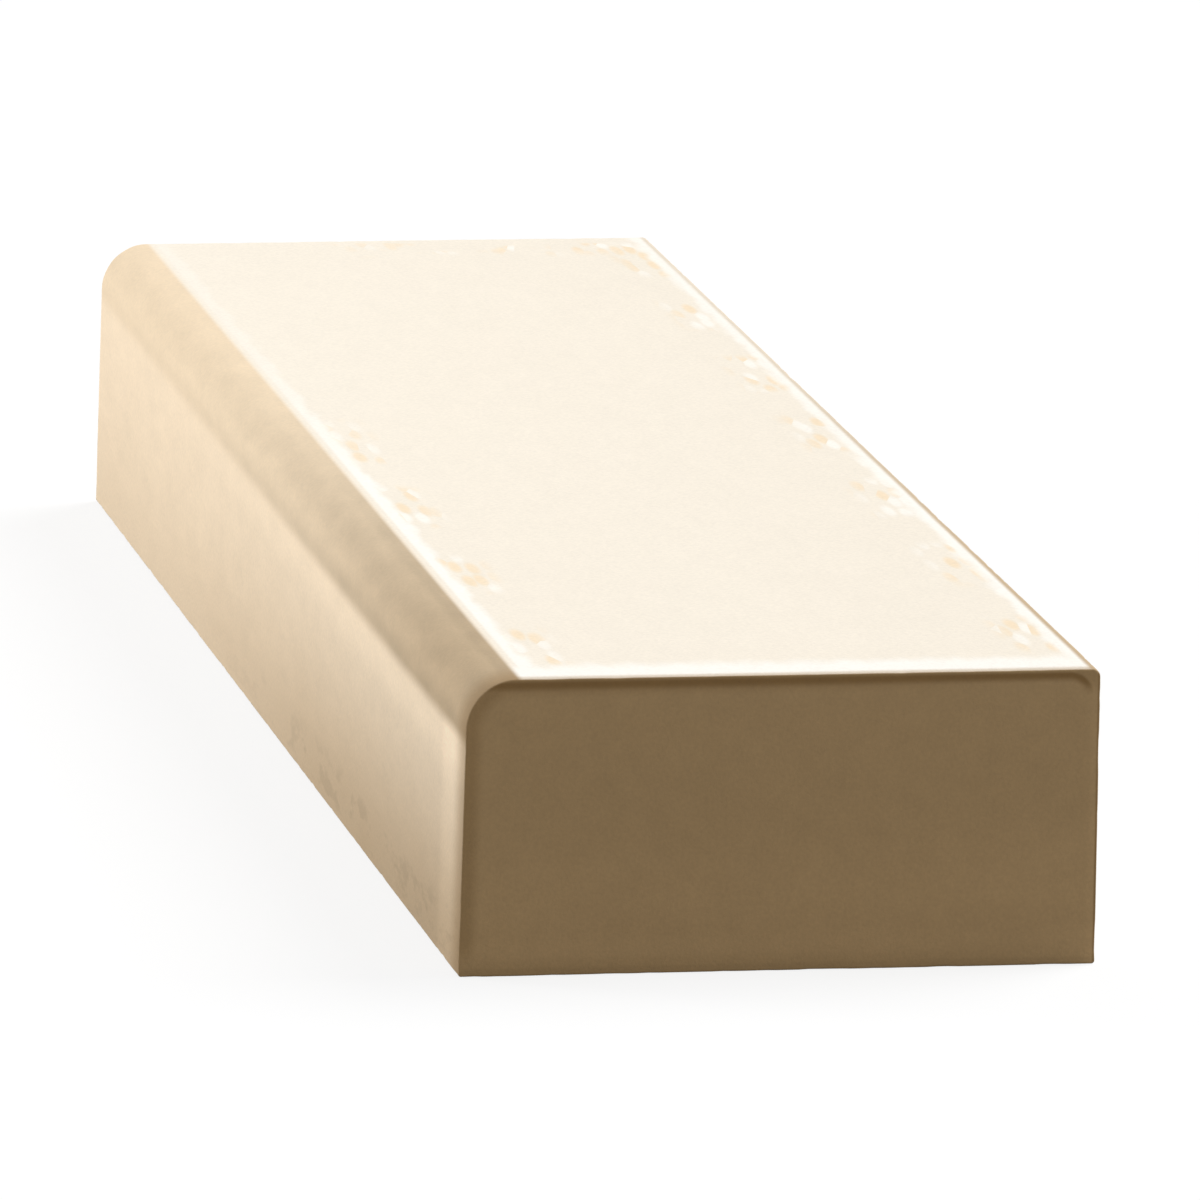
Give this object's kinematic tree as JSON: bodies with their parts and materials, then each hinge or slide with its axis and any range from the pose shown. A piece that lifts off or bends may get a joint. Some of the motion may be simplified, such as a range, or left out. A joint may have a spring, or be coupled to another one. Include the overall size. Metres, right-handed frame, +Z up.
{
  "type": "concrete landscape kerb",
  "caption": "Straight precast concrete landscape kerb of flat rectangular section, with a large rounded nose along its exposed long edge and plain square ends.",
  "frame": {"origin": "middle of the bed face, at the level that the kerb lies on", "axes": "+Z up from the bed to the tread, Y along the kerb, -X out of the exposed face below the rounded nose, +X out of the backing face"},
  "size_m": [0.15, 0.6, 0.07],
  "materials": {
    "concrete": "fine cast concrete, cream to buff, matte"
  },
  "bodies": {
    "root": {"kerb": "concrete"}
  },
  "joints": []
}
